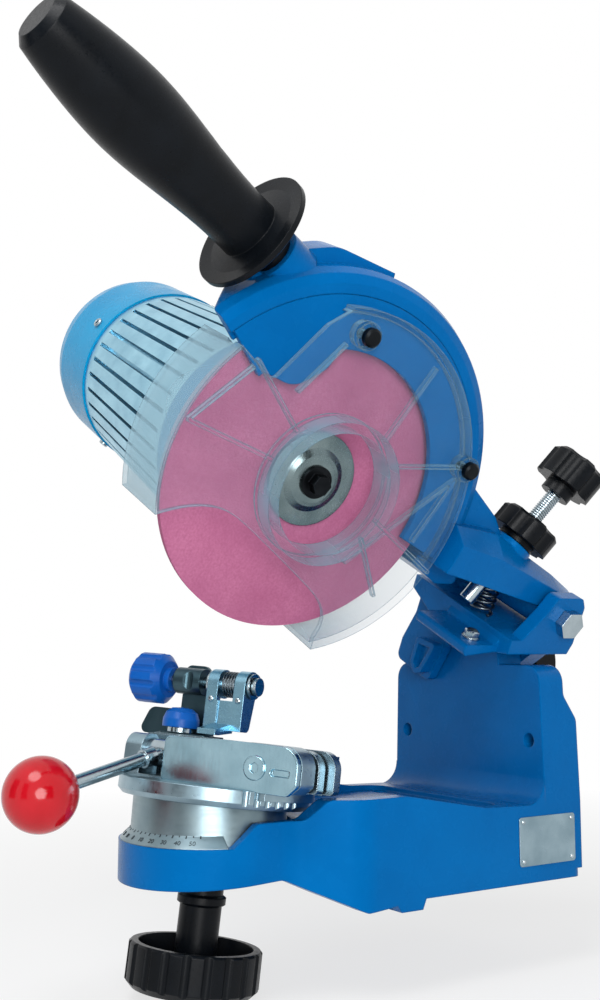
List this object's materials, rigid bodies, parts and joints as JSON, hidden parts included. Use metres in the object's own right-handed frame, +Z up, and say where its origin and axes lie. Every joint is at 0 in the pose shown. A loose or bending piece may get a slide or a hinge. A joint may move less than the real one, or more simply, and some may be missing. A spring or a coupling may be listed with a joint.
{
  "type": "chainsaw chain sharpener",
  "caption": "Bench chainsaw chain sharpener: tilting, chopping grinding head with finned motor and clear wheel guard over a swivelling chain vise with stop and clamp lever.",
  "frame": {"origin": "on the bench top, midway between the two bench bolts", "axes": "+Z up, -Y towards the operator and the vise, +X to the operator's right"},
  "size_m": [0.2739, 0.342, 0.382],
  "materials": {
    "blue_paint": "satin cast enamel",
    "cap_paint": "gloss enamel",
    "bare_aluminium": "machined",
    "steel": "zinc plated",
    "dark_steel": "blackened",
    "black_plastic": "moulded",
    "blue_plastic": "moulded",
    "red_plastic": "polished",
    "clear_plastic": "clear moulded",
    "abrasive": "vitrified grit"
  },
  "bodies": {
    "base": {"base_casting": "blue_paint", "swivel_wedge": "bare_aluminium", "tilt_shaft": "steel"},
    "vise": {"vise_body": "bare_aluminium", "pivot_bolt": "steel", "fixed_jaw": "steel", "jaw_guide_pins": "steel", "stop_bracket": "dark_steel"},
    "moving_jaw": {"moving_jaw": "steel"},
    "clamp_lever": {"clamp_shaft": "steel", "lever_rod": "steel", "lever_ball": "red_plastic"},
    "stop_slider": {"stop_sleeve": "steel", "pawl_spring": "steel"},
    "stop_screw": {"stop_screw": "steel", "stop_knob": "blue_plastic"},
    "pawl": {"chain_pawl": "steel"},
    "stop_lock": {"stop_lock_knob": "blue_plastic", "stop_lock_stud": "steel"},
    "lock_washer": {"lock_washer": "steel"},
    "lock_knob": {"lock_knob": "black_plastic"},
    "saddle": {"tilt_saddle": "blue_paint", "hinge_pin": "steel", "hinge_nut": "steel", "return_spring": "dark_steel"},
    "tilt_knob": {"tilt_knob": "black_plastic"},
    "head": {"head_casting": "blue_paint", "motor_body": "bare_aluminium", "fan_cap": "cap_paint", "wheel_cover": "blue_paint", "clear_guard": "clear_plastic", "guard_screws": "dark_steel", "handle_stud": "steel", "handle_grip": "black_plastic", "switch_box": "black_plastic", "cord_inlet": "black_plastic"},
    "rotor": {"motor_shaft": "steel", "cooling_fan": "black_plastic", "inner_flange": "steel", "grinding_wheel": "abrasive", "outer_flange": "steel", "hub_screw": "dark_steel"},
    "depth_rod": {"depth_rod": "steel"},
    "depth_knob": {"depth_knob": "black_plastic"},
    "depth_lock": {"depth_lock_knob": "black_plastic"},
    "rocker": {"switch_rocker": "black_plastic"}
  },
  "joints": [
    {"name": "vise_swivel", "type": "hinge", "parent": "base", "child": "vise", "pos_m": [0, -0.12702, 0.042], "axis": [0, 0.1305, 0.9914], "range_deg": [-60, 4]},
    {"name": "clamp_turn", "type": "hinge", "parent": "vise", "child": "clamp_lever", "pos_m": [0.00686, -0.13721, 0.06351], "axis": [0.8829, 0.4655, -0.0613], "range_deg": [-60, 0]},
    {"name": "jaw_slide", "type": "slide", "parent": "vise", "child": "moving_jaw", "axis": [0.4695, -0.8754, 0.1152], "range_m": [-0.00001, 0.00128]},
    {"name": "stop_slide", "type": "slide", "parent": "vise", "child": "stop_slider", "axis": [-0.8829, -0.4655, 0.0613], "range_m": [-0.002, 0.002]},
    {"name": "stop_turn", "type": "hinge", "parent": "stop_slider", "child": "stop_screw", "pos_m": [-0.00986, -0.10159, 0.09312], "axis": [-0.8829, -0.4655, 0.0613], "range_deg": [-756, 756]},
    {"name": "pawl_flip", "type": "hinge", "parent": "stop_slider", "child": "pawl", "pos_m": [-0.00986, -0.10159, 0.09312], "axis": [0.8829, 0.4655, -0.0613], "range_deg": [-50, 0], "stiffness_Nm_per_rad": 0.02, "springref_deg": 28.65},
    {"name": "stop_lock_turn", "type": "hinge", "parent": "vise", "child": "stop_lock", "pos_m": [-0.0345, -0.12636, 0.07217], "axis": [0, 0.1305, 0.9914], "range_deg": [0, 270]},
    {"name": "washer_slide", "type": "slide", "parent": "base", "child": "lock_washer", "axis": [0, -0.1305, -0.9914], "range_m": [0, 0.00219]},
    {"name": "lock_turn", "type": "hinge", "parent": "lock_washer", "child": "lock_knob", "pos_m": [0, -0.12702, 0.042], "axis": [0, 0.1305, 0.9914], "range_deg": [-20, 472.5]},
    {"name": "head_tilt", "type": "hinge", "parent": "base", "child": "saddle", "pos_m": [0, 0, 0.10425], "axis": [0, 1, 0], "range_deg": [-56.5, 3.5]},
    {"name": "tilt_knob_turn", "type": "hinge", "parent": "base", "child": "tilt_knob", "pos_m": [0, 0, 0.10425], "axis": [0, 1, 0], "range_deg": [0, 270]},
    {"name": "head_swing", "type": "hinge", "parent": "saddle", "child": "head", "pos_m": [0.01919, 0.045, 0.14273], "axis": [0.8949, 0, -0.4462], "range_deg": [0, 18], "stiffness_Nm_per_rad": 2.4, "springref_deg": -126.05, "deforming": ["return_spring"]},
    {"name": "wheel_spin", "type": "hinge", "parent": "head", "child": "rotor", "pos_m": [0.05044, -0.1085, 0.18749], "axis": [0.8949, 0, -0.4462], "continuous": true},
    {"name": "depth_slide", "type": "slide", "parent": "head", "child": "depth_rod", "axis": [0.3784, 0.5299, 0.7589], "range_m": [-0.0015, 0.006]},
    {"name": "depth_turn", "type": "hinge", "parent": "depth_rod", "child": "depth_knob", "pos_m": [0.02917, 0.002, 0.13586], "axis": [0.3784, 0.5299, 0.7589], "range_deg": [-453.6, 1814.4]},
    {"name": "depth_lock_turn", "type": "hinge", "parent": "head", "child": "depth_lock", "pos_m": [0.02917, 0.002, 0.13586], "axis": [0.3784, 0.5299, 0.7589], "range_deg": [0, 270]},
    {"name": "switch_rock", "type": "hinge", "parent": "head", "child": "rocker", "pos_m": [0.04814, -0.0525, 0.24786], "axis": [0.4462, 0, 0.8949], "range_deg": [-12, 0]}
  ],
  "couplings": [
    {"joint": "jaw_slide", "follows": "clamp_turn", "m_per_rad": -0.0012},
    {"joint": "stop_turn", "follows": "stop_slide", "rad_per_m": 6283.2},
    {"joint": "lock_turn", "follows": "washer_slide", "rad_per_m": 3590.4},
    {"joint": "depth_turn", "follows": "depth_slide", "rad_per_m": 5026.5}
  ]
}
